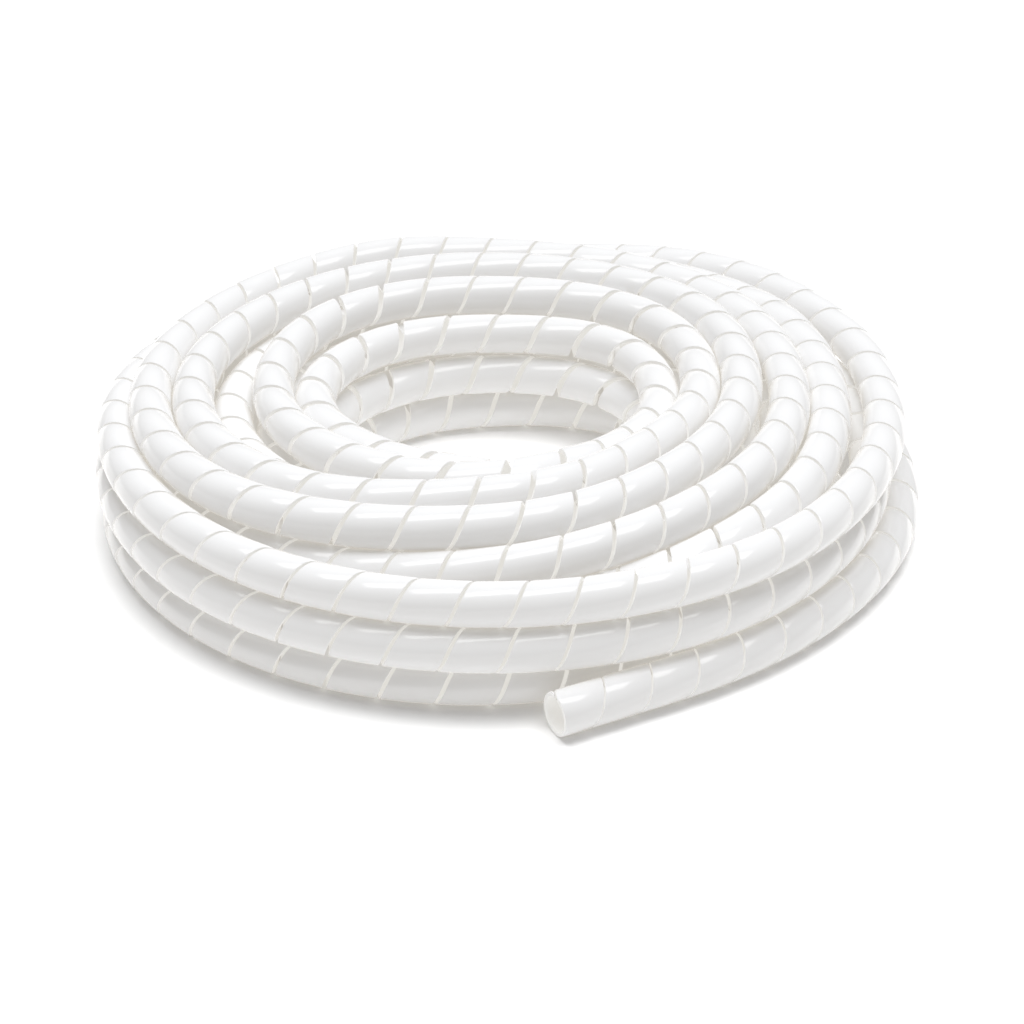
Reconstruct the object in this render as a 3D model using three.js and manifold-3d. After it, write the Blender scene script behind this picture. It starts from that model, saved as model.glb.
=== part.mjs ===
// A coil of spiral wrapping band, natural polyethylene, lying flat: millimetres, +Z up.
// The coiled turns are one turned ring with the eye open, and the free end is a hollow tube that
// comes out of the ring's side and lies on the floor in front of it.
import * as THREE from "three";
import { mergeVertices } from "three/addons/utils/BufferGeometryUtils.js";
import Module from "manifold-3d";

// Band
const BAND_OD = 15;
const BAND_WALL = 1.4;
const BAND_SIDES = 12;

// Coil
const EYE_TURN_RADIUS = 61.5; // centre line of the turns that surround the eye
const TURN_GAP = 0.3; // slack between neighbouring turns
const COIL_SEGMENTS = 40;

// Free end
const CLEARANCE = 0.3; // between the free end and the coil that it comes out of
const ROUTE_STEPS = 32;

const BAND_RADIUS = BAND_OD / 2;
const TURN_STEP = BAND_OD + TURN_GAP;

// The outer turns of the coil's section, in turn steps from the turn at the foot of the eye:
// how far out each one lies and how high, going round the section once.
const FOOT_STEP = 1.06; // the turns on the floor have spread a little
const OUTER_FOOT = [4 * FOOT_STEP, 0];
const SECTION_TURNS = [
  [0, 0],
  [FOOT_STEP, 0],
  [2 * FOOT_STEP, 0],
  [3 * FOOT_STEP, 0],
  OUTER_FOOT,
  [4.9, 0.98],
  [4.85, 1.92],
  [3.92, 2.3],
  [2.95, 2.65],
  [1.93, 2.6],
  [0.95, 2.4],
  [0, 2.15],
  [0.1, 1.07],
];

// The free end's route, from the mouth into the coil: degrees round the coil, then band
// diameters outward from the outer foot turn and up from the floor.
const FREE_END_ROUTE = [
  [-83.3, 1.9, 0],
  [-77, 1.52, 0],
  [-71, 1.3, 0],
  [-64, 1.16, 0],
  [-56, 1.09, 0],
  [-48, 1.08, 0],
  [-40, 1.1, 0],
  [-32, 1.16, 0],
  [-24, 1.24, 0],
  [-16, 1.31, 0.02],
  [-8, 1.34, 0.13],
  [0, 1.32, 0.33],
  [8, 1.24, 0.54],
  [16, 1.12, 0.74],
  [24, 0.96, 0.9],
  [32, 0.81, 0.98],
  [40, 0.7, 1.0],
];

// How far round its outward side a turn shows, and where the crevice to its neighbour ends,
// measured outward from the line through their centres
const SHOWN_HALF_ANGLE = Math.PI / 3;
const CREVICE_FLOOR = 3.2;

const SIDE_ANGLE = (2 * Math.PI) / BAND_SIDES;

const natural = new THREE.MeshStandardMaterial({
  color: 0xf1efe9,
  roughness: 0.32,
  metalness: 0,
});

// Centre of a turn in the section's plane: x is the radius, y the height
function turnCentre([out, up]) {
  return new THREE.Vector2(
    EYE_TURN_RADIUS + out * TURN_STEP,
    BAND_RADIUS + up * TURN_STEP,
  );
}

// Corners of the band's polygon between two directions. Its flats touch a circle, and one of
// them faces straight down.
function polygonCorners(radius, from = 0, to = 2 * Math.PI) {
  const corner = radius / Math.cos(SIDE_ANGLE / 2);
  const first = Math.ceil(from / SIDE_ANGLE - 0.5);
  const last = Math.floor(to / SIDE_ANGLE - 0.5);
  return Array.from({ length: last - first + 1 }, (_, k) => {
    const angle = (first + k + 0.5) * SIDE_ANGLE;
    return new THREE.Vector2(corner, 0).rotateAround(
      new THREE.Vector2(),
      angle,
    );
  });
}

// The section's outline: the outward corners of each outer turn, then the crevice to the next
function coilOutline() {
  const centres = SECTION_TURNS.map(turnCentre);
  const count = centres.length;
  const outward = centres.map((centre, i) => {
    const run = centres[(i + 1) % count].clone().sub(centre);
    return Math.atan2(-run.x, run.y);
  });
  const outline = centres.flatMap((centre, i) => {
    const from = outward[(i + count - 1) % count] - SHOWN_HALF_ANGLE;
    const turned = outward[i] + SHOWN_HALF_ANGLE - from + 2 * Math.PI;
    const to = from + (turned % (2 * Math.PI));
    const shown = polygonCorners(BAND_RADIUS, from, to);
    const crevice = centre
      .clone()
      .lerp(centres[(i + 1) % count], 0.5)
      .add(new THREE.Vector2(CREVICE_FLOOR, 0).rotateAround(new THREE.Vector2(), outward[i]));
    return [...shown.map((corner) => corner.add(centre)), crevice];
  });
  return [...outline, outline[0].clone()];
}

// The turned ring of all coiled turns, with its axis upright
function coilGeometry() {
  return new THREE.LatheGeometry(coilOutline(), COIL_SEGMENTS).rotateX(
    Math.PI / 2,
  );
}

// The free end's centre line as a smooth curve
function freeEndRoute() {
  const foot = turnCentre(OUTER_FOOT);
  return new THREE.CatmullRomCurve3(
    FREE_END_ROUTE.map(([degrees, out, up]) => {
      const angle = THREE.MathUtils.degToRad(degrees);
      const radius = foot.x + out * BAND_OD;
      return new THREE.Vector3(
        radius * Math.cos(angle),
        radius * Math.sin(angle),
        foot.y + up * BAND_OD,
      );
    }),
    false,
    "centripetal",
  );
}

// A curve without a short length at its far end
class Shortened extends THREE.Curve {
  constructor(whole, cutLength) {
    super();
    this.whole = whole;
    this.kept = 1 - cutLength / whole.getLength();
  }

  getPoint(t, target = new THREE.Vector3()) {
    return this.whole.getPointAt(this.kept * t, target);
  }
}

// A tube or rod along a curve
function alongCurve(curve, outerRadius, boreRadius = 0) {
  const section = new THREE.Shape(polygonCorners(outerRadius));
  if (boreRadius > 0) {
    section.holes.push(new THREE.Path(polygonCorners(boreRadius)));
  }
  return new THREE.ExtrudeGeometry(section, {
    extrudePath: curve,
    steps: ROUTE_STEPS,
  });
}

const wasm = await Module();
wasm.setup();

// A closed geometry as a solid that can be cut
function solid(geometry) {
  const bare = geometry.clone();
  bare.deleteAttribute("normal");
  bare.deleteAttribute("uv");
  const merged = mergeVertices(bare);
  return new wasm.Manifold(
    new wasm.Mesh({
      numProp: 3,
      vertProperties: merged.attributes.position.array,
      triVerts: new Uint32Array(merged.index.array),
    }),
  );
}

// A cut solid as a geometry again
function geometryOf(cut) {
  const mesh = cut.getMesh();
  const geometry = new THREE.BufferGeometry();
  geometry.setAttribute(
    "position",
    new THREE.BufferAttribute(new Float32Array(mesh.vertProperties), 3),
  );
  geometry.setIndex(new THREE.BufferAttribute(mesh.triVerts, 1));
  geometry.computeVertexNormals();
  return geometry;
}

// A named mesh of the band's material
function bandMesh(name, geometry) {
  const mesh = new THREE.Mesh(geometry, natural);
  mesh.name = name;
  return mesh;
}

const route = freeEndRoute();
const pocket = alongCurve(route, BAND_RADIUS + CLEARANCE);
const coil = solid(coilGeometry()).subtract(solid(pocket));
const freeEnd = alongCurve(
  new Shortened(route, CLEARANCE),
  BAND_RADIUS,
  BAND_RADIUS - BAND_WALL,
);

const group = new THREE.Group();
group.add(bandMesh("coil", geometryOf(coil)), bandMesh("free_end", freeEnd));

// The origin is on the floor under the middle of the whole part
const box = new THREE.Box3().setFromObject(group, true);
const middle = box.getCenter(new THREE.Vector3());
group.position.set(-middle.x, -middle.y, -box.min.z);

export default group;
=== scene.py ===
"""A loose round coil of natural polyethylene spiral wrapping band on a pale studio floor.

The whole band is one piece: a strip wound as a left-handed spiral tube, which is laid along one
continuous centre line from its open mouth, round every turn of the coil, to its hidden far end.
"""

import logging
import math
from dataclasses import dataclass, field
from enum import Enum

import bpy
import numpy as np
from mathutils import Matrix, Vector

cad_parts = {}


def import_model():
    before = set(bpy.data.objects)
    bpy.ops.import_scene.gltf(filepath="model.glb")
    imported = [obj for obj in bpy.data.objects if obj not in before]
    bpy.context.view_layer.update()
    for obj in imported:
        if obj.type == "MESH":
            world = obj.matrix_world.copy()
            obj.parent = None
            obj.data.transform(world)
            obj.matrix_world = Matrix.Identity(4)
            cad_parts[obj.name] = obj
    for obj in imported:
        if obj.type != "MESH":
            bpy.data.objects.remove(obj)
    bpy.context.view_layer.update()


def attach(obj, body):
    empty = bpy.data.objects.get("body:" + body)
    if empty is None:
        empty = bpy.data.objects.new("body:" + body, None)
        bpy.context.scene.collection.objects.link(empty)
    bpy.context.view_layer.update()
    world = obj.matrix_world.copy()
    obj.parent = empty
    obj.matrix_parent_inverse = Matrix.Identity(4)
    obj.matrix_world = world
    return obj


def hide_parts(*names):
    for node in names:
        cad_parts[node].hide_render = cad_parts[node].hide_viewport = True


log = logging.getLogger("spiral_band")

DIAMETER = 0.015
RADIUS = DIAMETER / 2
COIL_AXIS = (-0.00489, 0.008213)

# The outer turn on the floor in the CAD, which its free end's route is measured from
EYE_TURN_RADIUS = 0.0615
TURN_STEP = DIAMETER + 0.0003
FOOT_STEP = 1.06
OUTER_FOOT_RADIUS = EYE_TURN_RADIUS + 4 * FOOT_STEP * TURN_STEP

# Height of a centre line that lies on the floor, in band diameters
LYING = 0.5


class Side(Enum):
    """The eight sides of the coil where a turn's place is given, as degrees round its axis."""

    BACK = 90
    BACK_LEFT = 135
    LEFT = 180
    FRONT_LEFT = 225
    FRONT = 270
    FRONT_RIGHT = 315
    RIGHT = 360
    BACK_RIGHT = 405


class Sight(Enum):
    """How firmly a turn keeps its place when turns press on each other."""

    SHOWN = 0.20
    BURIED = 0.02


Place = tuple[float, float]


@dataclass(frozen=True)
class Turn:
    """One turn of the coil, from its back round to where the next one begins.

    Each place is the distance of the centre line from the coil's axis and its height, both in
    band diameters.
    """

    back: Place
    back_left: Place
    left: Place
    front_left: Place
    front: Place
    front_right: Place
    right: Place
    back_right: Place
    sight: Sight = Sight.SHOWN

    def knots(self, before: float) -> list[tuple[float, float, float, float]]:
        """Lists the turn's places with their angles.

        Args:
            before: The degrees that the band has gone round before this turn.

        Returns:
            The angle, radius, height and hold of each place.
        """
        return [(before + side.value, *getattr(self, side.name.lower()), self.sight.value)
                for side in Side]


# The free end's route as the CAD has it, from the mouth into the coil: degrees round the coil, then
# band diameters outward from the outer turn on the floor and up from the floor
FREE_END_ROUTE = (
    (-83.3, 1.9, 0),
    (-77, 1.52, 0),
    (-71, 1.3, 0),
    (-64, 1.16, 0),
    (-56, 1.09, 0),
    (-48, 1.08, 0),
    (-40, 1.1, 0),
    (-32, 1.16, 0),
    (-24, 1.24, 0),
    (-16, 1.31, 0.02),
    (-8, 1.34, 0.13),
    (0, 1.32, 0.33),
    (8, 1.24, 0.54),
    (16, 1.12, 0.74),
    (24, 0.96, 0.9),
    (32, 0.81, 0.98),
    (40, 0.7, 1.0),
)

# The turns in the order in which the band runs through them: two round the outside, two under the
# top layer's outer edge, the top layer inward to the eye, then the turns below it. Those in sight
# follow the edges of the rings in the photo, with guessed heights, and the others are guesses.
TURNS = (
    Turn((8.60, 1.55), (9.10, 2.18), (9.24, 2.35), (9.16, 2.40),
         (9.08, 2.45), (9.15, 2.53), (9.30, 2.55), (9.45, 2.85)),
    Turn((9.45, 2.10), (9.50, 1.35), (9.32, 1.40), (9.33, 1.47),
         (9.30, 1.53), (9.18, 1.52), (8.90, 1.55), (8.10, 1.80)),
    Turn((7.70, 1.25), (7.80, 1.20), (7.90, 1.20), (7.90, 1.30),
         (7.90, 1.65), (8.25, 2.55), (7.98, 2.85), (8.35, 2.80)),
    Turn((8.50, 2.60), (8.00, 2.25), (8.00, 2.10), (8.15, 2.10),
         (7.72, 2.57), (7.20, 3.00), (7.09, 3.05), (7.65, 3.10)),
    Turn((7.63, 3.13), (8.18, 3.10), (8.42, 3.08), (8.15, 3.10),
         (7.01, 3.12), (6.02, 3.13), (5.89, 3.17), (6.40, 3.25)),
    Turn((6.49, 3.30), (6.98, 3.25), (7.40, 3.17), (7.12, 3.20),
         (5.72, 3.25), (4.58, 3.03), (4.90, 2.95), (5.60, 3.05)),
    Turn((5.30, 3.15), (5.75, 3.08), (5.50, 2.95), (5.05, 2.98),
         (4.72, 3.00), (3.85, 2.68), (3.88, 2.60), (4.31, 2.62)),
    Turn((4.01, 2.65), (4.38, 2.70), (4.50, 2.75), (4.10, 2.74),
         (3.97, 2.68), (3.85, 1.70), (3.95, 1.60), (3.90, 1.60)),
    Turn((3.75, 1.60), (4.05, 1.60), (4.40, 1.65), (4.25, 1.65),
         (4.50, 1.55), (4.85, 1.45), (5.00, 1.60), (5.10, 1.90)),
    Turn((5.05, 2.15), (5.25, 2.10), (5.40, 1.95), (5.20, 1.95),
         (5.40, 2.00), (5.60, 2.00), (5.90, 2.10), (6.00, 2.20), Sight.BURIED),
    Turn((6.15, 2.25), (6.50, 2.30), (6.50, 2.33), (6.15, 2.40),
         (6.30, 2.15), (6.60, 2.05), (6.80, 2.00), (6.90, 1.60)),
    Turn((6.80, 1.20), (6.90, 1.20), (6.90, 1.20), (6.90, 1.20),
         (6.90, 1.30), (7.00, 1.30), (7.70, 1.42), (8.60, 0.75), Sight.BURIED),
    Turn((8.80, 0.50), (9.10, 0.50), (9.25, 0.50), (9.20, 0.50),
         (9.02, 0.50), (8.60, 0.50), (8.10, 0.50), (7.60, 0.50)),
    Turn((7.40, 0.50), (7.50, 0.50), (7.60, 0.50), (7.60, 0.50),
         (7.50, 0.50), (7.20, 0.50), (6.80, 0.50), (6.20, 0.50), Sight.BURIED),
    Turn((5.80, 0.50), (5.90, 0.50), (6.00, 0.50), (5.90, 0.50),
         (5.80, 0.50), (5.70, 0.50), (5.30, 0.50), (4.60, 0.50), Sight.BURIED),
    Turn((4.00, 0.50), (4.15, 0.50), (4.35, 0.50), (4.30, 0.50),
         (4.20, 0.50), (4.10, 0.50), (4.00, 0.50), (4.00, 0.50)),
)


@dataclass(frozen=True)
class NaturalPolyethylene:
    """Milky unpigmented polyethylene with a soft gloss.

    A weak emission is a painted glow that stands in for the light that spreads in its wall, so its
    colour is darker than the real one. The two are balanced for this studio's light. Its warm tint
    paints cream into the shaded hollows between turns, while the lit tops stay neutral.
    """

    colour: tuple[float, float, float] = (0.590, 0.607, 0.640)
    spread_glow: tuple[float, float, float] = (1.0, 0.915, 0.77)
    spread_glow_strength: float = 0.225
    inner_glow: tuple[float, float, float] = (1.0, 0.94, 0.82)
    inner_glow_strength: float = 0.32
    inner_roughness: float = 0.5
    roughness: tuple[float, float] = (0.09, 0.15)
    ior: float = 1.5
    darkest: float = 0.985
    haze_scale: float = 28
    line_scale: tuple[float, float, float] = (12, 2600, 1)
    relief_strength: float = 0.08
    relief_depth: float = 0.0002

    def inner(self) -> bpy.types.Material:
        """Builds the matt material of the inner wall and the cut edges, with more emission: a
        painted glow that lights the inside seen through the slits.

        Returns:
            The finished material.
        """
        stuff = bpy.data.materials.new("natural_polyethylene_inner")
        stuff.use_nodes = True
        shader = stuff.node_tree.nodes["Principled BSDF"]
        shader.inputs["Base Color"].default_value = (*self.colour, 1)
        shader.inputs["Roughness"].default_value = self.inner_roughness
        # Painted glow: a stronger warm emission in place of the light that comes through the wall
        # into the tube
        shader.inputs["Emission Color"].default_value = (*self.inner_glow, 1)
        shader.inputs["Emission Strength"].default_value = self.inner_glow_strength
        return stuff

    def material(self) -> bpy.types.Material:
        """Builds the glossy material of the outside, with haze and fine lines along the strip.

        Returns:
            The finished material.
        """
        stuff = bpy.data.materials.new("natural_polyethylene")
        stuff.use_nodes = True
        nodes, links = stuff.node_tree.nodes, stuff.node_tree.links
        shader = nodes["Principled BSDF"]
        shader.inputs["IOR"].default_value = self.ior
        place = nodes.new("ShaderNodeTexCoord")
        haze = nodes.new("ShaderNodeTexNoise")
        haze.inputs["Scale"].default_value = self.haze_scale
        haze.inputs["Detail"].default_value = 3
        links.new(place.outputs["Object"], haze.inputs["Vector"])
        tint = nodes.new("ShaderNodeMix")
        tint.data_type = "RGBA"
        tint.inputs["A"].default_value = (*(self.darkest * c for c in self.colour), 1)
        tint.inputs["B"].default_value = (*self.colour, 1)
        links.new(haze.outputs["Fac"], tint.inputs["Factor"])
        links.new(tint.outputs["Result"], shader.inputs["Base Color"])
        gloss = nodes.new("ShaderNodeMapRange")
        gloss.inputs["To Min"].default_value = self.roughness[0]
        gloss.inputs["To Max"].default_value = self.roughness[1]
        links.new(haze.outputs["Fac"], gloss.inputs["Value"])
        links.new(gloss.outputs["Result"], shader.inputs["Roughness"])
        run = nodes.new("ShaderNodeUVMap")
        run.uv_map = "along_strip"
        stretch = nodes.new("ShaderNodeMapping")
        stretch.inputs["Scale"].default_value = self.line_scale
        links.new(run.outputs["UV"], stretch.inputs["Vector"])
        lines = nodes.new("ShaderNodeTexNoise")
        lines.inputs["Scale"].default_value = 1
        lines.inputs["Detail"].default_value = 2
        links.new(stretch.outputs["Vector"], lines.inputs["Vector"])
        relief = nodes.new("ShaderNodeBump")
        relief.inputs["Strength"].default_value = self.relief_strength
        relief.inputs["Distance"].default_value = self.relief_depth
        links.new(lines.outputs["Fac"], relief.inputs["Height"])
        links.new(relief.outputs["Normal"], shader.inputs["Normal"])
        # Painted glow: a warm emission in place of the light that spreads in the wall, which also
        # lightens and warms the shaded hollows
        shader.inputs["Emission Color"].default_value = (*self.spread_glow, 1)
        shader.inputs["Emission Strength"].default_value = self.spread_glow_strength
        return stuff


@dataclass(frozen=True)
class PaleFloor:
    """The white table surface."""

    colour: tuple[float, float, float] = (0.95, 0.95, 0.95)
    lift: float = 0.05

    def material(self) -> bpy.types.Material:
        """Builds the floor's matt material.

        Returns:
            The finished material.
        """
        stuff = bpy.data.materials.new("pale_floor")
        stuff.use_nodes = True
        shader = stuff.node_tree.nodes["Principled BSDF"]
        shader.inputs["Base Color"].default_value = (*self.colour, 1)
        shader.inputs["Roughness"].default_value = 0.9
        shader.inputs["Specular IOR Level"].default_value = 0.1
        shader.inputs["Emission Color"].default_value = (1, 1, 1, 1)
        shader.inputs["Emission Strength"].default_value = self.lift
        return stuff


@dataclass
class CoilRoute:
    """The band's whole centre line, with its turns pressed apart where they would overlap.

    The turns are worked out at evenly spaced planes through the coil's axis. In each plane every
    passage of the band is a circle, and circles that overlap push each other apart. Turns that
    cross the planes at a slant come out slightly too near each other, by up to about 1 mm.

    Attributes:
        planes: How many planes there are round the coil.
        contact: How far apart circles come to lie, in diameters.
        rounds: How often circles push each other while they are also pulled to their places.
        settling: How often they push each other after that.
        pull: How firmly a circle that keeps its place is pulled back to it.
        evening: How much a round evens out the band's moves along its length.
        settled_evening: The same while the turns settle.
        waver: The unevenness of turns laid by hand, in diameters.
        waver_degrees: How far round the coil one such unevenness reaches.
        waver_height: The share of the unevenness that goes into the height.
        wavering_hold: Only points that keep their place less firmly than this are uneven.
        seed: The seed of the unevenness.
        last_degrees: Where the last turn ends, in degrees as Side has them.
        free_hold: How firmly the free end keeps its place.
        fine: How many points the smooth line has for each plane.
        step: About how far apart the finished line's points are, in metres.
    """

    planes: int = 64
    contact: float = 1.005
    rounds: int = 500
    settling: int = 250
    pull: float = 0.12
    evening: float = 0.10
    settled_evening: float = 0.01
    waver: float = 0.03
    waver_degrees: float = 70
    waver_height: float = 0.6
    wavering_hold: float = 0.4
    seed: int = 7
    last_degrees: float = 330.0
    free_hold: float = 0.5
    fine: int = 12
    step: float = 0.002
    line: np.ndarray = field(init=False)

    def __post_init__(self) -> None:
        """Works out the centre line."""
        angles, places, hold = self.planned()
        places = self.pressed(angles, places, hold)
        self.line = self.smooth(angles, places)

    def planned(self) -> tuple[np.ndarray, np.ndarray, np.ndarray]:
        """Lists where each passage of the band is meant to lie.

        Returns:
            The angle of each point in degrees, its radius and height in diameters, and how firmly
            it keeps its place.
        """
        knots = [(degrees, OUTER_FOOT_RADIUS / DIAMETER + out, LYING + up, self.free_hold)
                 for degrees, out, up in FREE_END_ROUTE]
        for number, turn in enumerate(TURNS):
            knots += turn.knots(360 * number)
        knots = np.array(knots)
        spacing = 360 / self.planes
        first = math.ceil(knots[0, 0] / spacing)
        last = math.floor((360 * (len(TURNS) - 1) + self.last_degrees) / spacing)
        angles = np.arange(first, last + 1) * spacing
        places = np.column_stack([flowing(knots[:, 0], knots[:, k], angles) for k in (1, 2)])
        hold = np.interp(angles, knots[:, 0], knots[:, 3])
        return angles, self.wavered(angles, places, hold), hold

    def wavered(self, angles: np.ndarray, places: np.ndarray, hold: np.ndarray) -> np.ndarray:
        """Adds the slight unevenness of turns laid by hand, and none to the free end.

        Args:
            angles: The angle of each point.
            places: The radius and height of each point.
            hold: How firmly each point keeps its place.

        Returns:
            The places with their unevenness.
        """
        chance = np.random.default_rng(self.seed)
        every = np.arange(angles[0], angles[-1] + self.waver_degrees, self.waver_degrees)
        drift = np.column_stack(
            [flowing(every, chance.normal(0, self.waver, len(every)), angles) for _ in range(2)])
        return places + drift * (hold < self.wavering_hold)[:, None] * (1, self.waver_height)

    def pressed(self, angles: np.ndarray, places: np.ndarray, hold: np.ndarray) -> np.ndarray:
        """Pushes passages that overlap apart, in every plane at once.

        Args:
            angles: The angle of each point.
            places: The radius and height of each point.
            hold: How firmly each point keeps its place.

        Returns:
            The places in which the turns lie side by side.
        """
        wanted = places.copy()
        count = len(angles)
        layers = math.ceil(count / self.planes)
        # Turns that keep their place more firmly give way less
        gives = np.clip(1.2 - 2 * hold, 0.15, 1.0)
        for number in range(self.rounds + self.settling):
            grid = np.full((layers * self.planes, 2), np.nan)
            grid[:count] = places
            grid = grid.reshape(layers, self.planes, 2)
            soft = np.zeros(layers * self.planes)
            soft[:count] = gives
            soft = soft.reshape(layers, self.planes)
            gap = grid[:, None] - grid[None, :]
            apart = np.sqrt((gap ** 2).sum(-1)) + 1e-9
            overlap = np.where(apart < self.contact, self.contact - apart, 0)
            overlap = np.nan_to_num(overlap)
            overlap[np.arange(layers), np.arange(layers)] = 0
            share = soft[:, None] / (soft[:, None] + soft[None, :] + 1e-9)
            aside = np.nan_to_num(gap / apart[..., None])
            push = np.nansum(aside * (overlap * share)[..., None], 1)
            places = places + 0.5 * push.reshape(-1, 2)[:count]
            moved = places - wanted
            if number < self.rounds:
                moved *= (1 - self.pull * hold)[:, None]
            evened = self.evening if number < self.rounds else self.settled_evening
            moved[1:-1] += evened * (moved[2:] + moved[:-2] - 2 * moved[1:-1])
            places = wanted + moved
            places[:, 1] = np.maximum(places[:, 1], LYING)
        return places

    def smooth(self, angles: np.ndarray, places: np.ndarray) -> np.ndarray:
        """Turns the planes' points into a fine centre line in metres.

        Args:
            angles: The angle of each point.
            places: The radius and height of each point.

        Returns:
            Points along the centre line, evenly spaced.
        """
        fine = np.linspace(angles[0], angles[-1], len(angles) * self.fine)
        radius = flowing(angles, places[:, 0], fine) * DIAMETER
        height = flowing(angles, places[:, 1], fine) * DIAMETER
        turned = np.radians(fine)
        points = np.column_stack([
            COIL_AXIS[0] + radius * np.cos(turned),
            COIL_AXIS[1] + radius * np.sin(turned),
            np.maximum(height, RADIUS)])
        points = np.vstack([mouth_point(), points])
        run = lengths(points)
        even = np.linspace(0, run[-1], int(run[-1] / self.step))
        return np.column_stack([np.interp(even, run, points[:, k]) for k in range(3)])


def mouth_point() -> tuple[float, float, float]:
    """Works out where the middle of the band's mouth lies, from the first point of its route.

    Returns:
        The point in metres.
    """
    degrees, out, up = FREE_END_ROUTE[0]
    radius = OUTER_FOOT_RADIUS + out * DIAMETER
    turned = math.radians(degrees)
    return (COIL_AXIS[0] + radius * math.cos(turned), COIL_AXIS[1] + radius * math.sin(turned),
            RADIUS + up * DIAMETER)


def lengths(points: np.ndarray) -> np.ndarray:
    """Measures how far along a line each of its points lies.

    Args:
        points: The line's points.

    Returns:
        The length up to each point.
    """
    return np.concatenate([[0], np.cumsum(np.linalg.norm(np.diff(points, axis=0), axis=1))])


def flowing(at: np.ndarray, values: np.ndarray, wanted: np.ndarray) -> np.ndarray:
    """Reads a smooth curve through given values, which can swing a little past them.

    Args:
        at: Where the values are given, in rising order.
        values: The values.
        wanted: Where the curve is read.

    Returns:
        The curve's values.
    """
    width = np.diff(at)
    rise = np.diff(values) / width
    slope = np.zeros(len(at))
    slope[1:-1] = (rise[:-1] * width[1:] + rise[1:] * width[:-1]) / (width[:-1] + width[1:])
    slope[0], slope[-1] = rise[0], rise[-1]
    index = np.clip(np.searchsorted(at, wanted) - 1, 0, len(width) - 1)
    t = (wanted - at[index]) / width[index]
    a, b = values[index], values[index + 1]
    m, n = slope[index] * width[index], slope[index + 1] * width[index]
    return (a * (2 * t**3 - 3 * t**2 + 1) + m * (t**3 - 2 * t**2 + t)
            + b * (3 * t**2 - 2 * t**3) + n * (t**3 - t**2))


# The material of each side of the strip's section: four sides outside, then a cut edge, the inner
# wall and the other cut edge
SIDE_SLOTS = (0, 0, 0, 0, 1, 1, 1)


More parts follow.
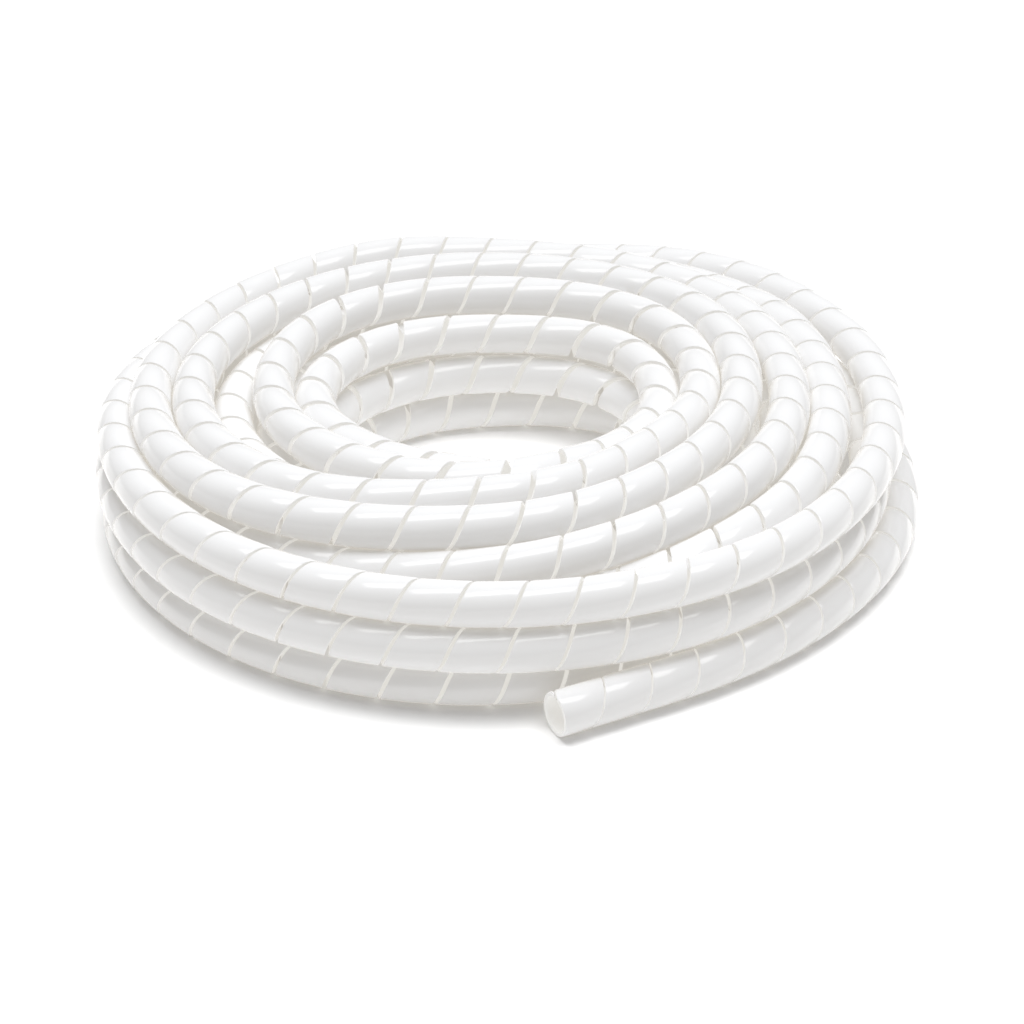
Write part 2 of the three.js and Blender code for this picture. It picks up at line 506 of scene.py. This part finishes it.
@dataclass
class SpiralBand:
    """The strip of polyethylene, wound as a tube round the centre line.

    Attributes:
        route: The centre line.
        finish: What the strip is made of.
        wall: The strip's thickness.
        strip_width: The strip's width along the tube.
        closed_gap: The slit between the strip's edges where the band is straight.
        rounding: How far in from its edge the strip's outside is rounded.
        rounding_drop: How far the rounding drops at the edge.
        steps_per_turn: How many faces the strip has for each turn round the tube.
        mouth_degrees: Where round the tube the strip is at the mouth.
        cut_turns: What is cut off each pointed end of the strip, in turns round the tube.
        calm_reach: How many points to each side the bend is averaged over.
        sharpest: The band's radius by that of the bend beyond which the slit opens no further.
        crease_degrees: Edges sharper than this are shaded as creases.
    """

    route: CoilRoute
    finish: NaturalPolyethylene
    wall: float = 0.0014
    strip_width: float = 0.0168
    closed_gap: float = 0.0003
    rounding: float = 0.0005
    rounding_drop: float = 0.00022
    steps_per_turn: int = 24
    mouth_degrees: float = -95.0
    cut_turns: float = 0.012
    calm_reach: int = 15
    sharpest: float = 0.16
    crease_degrees: float = 50.0

    def build(self) -> bpy.types.Object:
        """Builds the strip and dresses it.

        Returns:
            The finished piece.
        """
        vertices, faces, along = self.shell()
        slots = [0, 0, *SIDE_SLOTS * ((len(faces) - 2) // len(SIDE_SLOTS))]
        mesh = bpy.data.meshes.new("spiral_band")
        mesh.from_pydata(vertices.tolist(), [], faces)
        layer = mesh.uv_layers.new(name="along_strip")
        corner = np.empty(len(mesh.loops), dtype=np.int32)
        mesh.loops.foreach_get("vertex_index", corner)
        layer.data.foreach_set("uv", along[corner].ravel())
        mesh.validate()
        band = bpy.data.objects.new("spiral_band", mesh)
        bpy.context.collection.objects.link(band)
        bpy.ops.object.select_all(action="DESELECT")
        band.select_set(True)
        bpy.context.view_layer.objects.active = band
        bpy.ops.object.shade_smooth_by_angle(angle=math.radians(self.crease_degrees))
        band.data.materials.append(self.finish.material())
        band.data.materials.append(self.finish.inner())
        band.data.polygons.foreach_set("material_index", slots)
        return band

    def bend(self, line: np.ndarray) -> np.ndarray:
        """Measures how sharply the centre line bends at each of its points.

        Args:
            line: The centre line's points.

        Returns:
            The band's radius as a share of the radius of the bend.
        """
        run = lengths(line)
        ahead = np.gradient(line, run, axis=0)
        turning = np.linalg.norm(np.gradient(ahead, run, axis=0), axis=1)
        kernel = np.ones(2 * self.calm_reach + 1) / (2 * self.calm_reach + 1)
        calm = np.convolve(np.pad(turning, self.calm_reach, mode="edge"), kernel, mode="valid")
        return np.clip(calm * RADIUS, 0.0, self.sharpest)

    def shell(self) -> tuple[np.ndarray, list[tuple[int, ...]], np.ndarray]:
        """Works out the strip's closed skin.

        Returns:
            Its vertices, its faces, and for each vertex its place along and across the strip.
        """
        line = self.route.line
        run = lengths(line)
        total = run[-1]
        ahead = np.gradient(line, run, axis=0)
        ahead /= np.linalg.norm(ahead, axis=1)[:, None]
        out = np.cross(ahead, (0.0, 0.0, 1.0))
        out /= np.linalg.norm(out, axis=1)[:, None]
        up = np.cross(out, ahead)
        pitch = self.strip_width / (1 - self.bend(line)) + self.closed_gap
        spun = np.concatenate([[0], np.cumsum(np.diff(run) * 2 / (pitch[1:] + pitch[:-1]))])
        half = self.strip_width / 2
        lead = half / pitch[0]
        tail = half / pitch[-1]
        count = int((spun[-1] + lead + tail) * self.steps_per_turn)
        turn = np.linspace(-lead + self.cut_turns, spun[-1] + tail - self.cut_turns, count)
        centre = np.interp(turn, spun, run)
        centre += np.where(turn < 0, turn * pitch[0], 0) + np.where(
            turn > spun[-1], (turn - spun[-1]) * pitch[-1], 0)
        low = np.clip(centre - half, 0, total)
        high = np.clip(centre + half, 0, total)
        outer, inner = RADIUS, RADIUS - self.wall
        # The strip is narrow near its pointed ends, and its rounding shrinks with it
        soft = np.minimum(self.rounding, 0.3 * (high - low))
        drop = np.minimum(self.rounding_drop, 0.4 * (high - low))
        profile = [
            (low, outer - drop), (low + soft, outer), ((low + high) / 2, outer),
            (high - soft, outer), (high, outer - drop), (high, inner), (low, inner)]
        angle = 2 * math.pi * turn + math.radians(self.mouth_degrees)
        rings = []
        for place, reach in profile:
            middle = np.column_stack([np.interp(place, run, line[:, k]) for k in range(3)])
            aside = np.column_stack([np.interp(place, run, out[:, k]) for k in range(3)])
            above = np.column_stack([np.interp(place, run, up[:, k]) for k in range(3)])
            rings.append(middle + np.asarray(reach * np.cos(angle))[:, None] * aside
                         + np.asarray(reach * np.sin(angle))[:, None] * above)
        corners = len(profile)
        vertices = np.stack(rings, axis=1).reshape(-1, 3)
        walked = turn * math.hypot(2 * math.pi * RADIUS, self.strip_width)
        across = [p - centre for p, _ in profile]
        along = np.stack([np.column_stack([walked, a]) for a in across], axis=1).reshape(-1, 2)
        return vertices, skin(count, corners), along.astype(np.float32)


def skin(count: int, corners: int) -> list[tuple[int, ...]]:
    """Lists the faces of a closed skin over a row of rings.

    Args:
        count: How many rings there are.
        corners: How many vertices each ring has.

    Returns:
        The two end faces, then the sides ring by ring.
    """
    faces = [tuple(range(corners))[::-1], tuple(range((count - 1) * corners, count * corners))]
    for n in range(count - 1):
        a, b = n * corners, (n + 1) * corners
        for k in range(corners):
            j = (k + 1) % corners
            faces.append((a + k, a + j, b + j, b + k))
    return faces


@dataclass(frozen=True)
class Studio:
    """Floor, light and camera.

    The softbox gives the highlights. The ceiling light is wide, lights the turns evenly and doesn't
    show in reflections.
    """

    elevation: float = math.radians(29.51)
    distance: float = 0.9
    aim: tuple[float, float, float] = (-0.0004, -0.0020, 0.0)
    lens: float = 85.6
    sensor: float = 36
    floor_size: float = 8
    floor_drop: float = 0.0002
    softbox_size: tuple[float, float] = (1.3, 0.5)
    softbox_place: tuple[float, float, float] = (0.0, -0.12, 1.2)
    softbox_power: float = 7.5
    ceiling_strength: float = 2.3
    ceiling_spread: float = math.radians(48)
    ceiling_tilt: tuple[float, float, float] = (math.radians(-19), math.radians(4), 0)
    surroundings_strength: float = 0.27

    def floor(self) -> bpy.types.Object:
        """Lays the white floor.

        Returns:
            The floor.
        """
        bpy.ops.object.select_all(action="DESELECT")
        bpy.ops.mesh.primitive_plane_add(size=self.floor_size, location=(0, 0, -self.floor_drop))
        ground = bpy.context.object
        ground.name = "floor"
        ground.data.materials.append(PaleFloor().material())
        return ground

    def lights(self) -> None:
        """Puts up the softbox, the ceiling light and the dim white surroundings."""
        self.softbox()
        self.ceiling()
        sky = bpy.data.worlds.new("white_room")
        sky.use_nodes = True
        background = sky.node_tree.nodes["Background"]
        background.inputs["Color"].default_value = (1, 1, 1, 1)
        background.inputs["Strength"].default_value = self.surroundings_strength
        bpy.context.scene.world = sky
        bpy.context.scene.view_settings.view_transform = "Standard"

    def softbox(self) -> None:
        """Hangs the softbox over the coil."""
        box = bpy.data.lights.new("overhead_softbox", "AREA")
        box.shape = "RECTANGLE"
        box.size, box.size_y = self.softbox_size
        box.energy = self.softbox_power
        lamp = bpy.data.objects.new("overhead_softbox", box)
        lamp.location = self.softbox_place
        lamp.rotation_euler = (-Vector(self.softbox_place)).to_track_quat("-Z", "Y").to_euler()
        bpy.context.collection.objects.link(lamp)

    def ceiling(self) -> None:
        """Adds the wide light from above."""
        top = bpy.data.lights.new("ceiling", "SUN")
        top.energy = self.ceiling_strength
        top.angle = self.ceiling_spread
        lamp = bpy.data.objects.new("ceiling", top)
        lamp.rotation_euler = self.ceiling_tilt
        lamp.visible_glossy = False
        bpy.context.collection.objects.link(lamp)

    def camera(self) -> None:
        """Places the camera at the photograph's viewing angle."""
        lens = bpy.data.cameras.new("camera")
        lens.lens, lens.sensor_width = self.lens, self.sensor
        eye = bpy.data.objects.new("camera", lens)
        away = Vector((0, -math.cos(self.elevation), math.sin(self.elevation))) * self.distance
        eye.location = Vector(self.aim) + away
        eye.rotation_euler = (-away).to_track_quat("-Z", "Y").to_euler()
        bpy.context.collection.objects.link(eye)
        bpy.context.scene.camera = eye


def main() -> None:
    """Builds the band and its studio and reports what was made."""
    logging.basicConfig(level=logging.INFO, format="%(message)s")
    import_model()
    studio = Studio()
    studio.camera()
    studio.floor()
    studio.lights()
    route = CoilRoute()
    band = SpiralBand(route, NaturalPolyethylene()).build()
    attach(band, "root")
    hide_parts("coil", "free_end")
    log.info("spiral_band: %d faces", len(band.data.polygons))


if __name__ == "__main__":
    main()
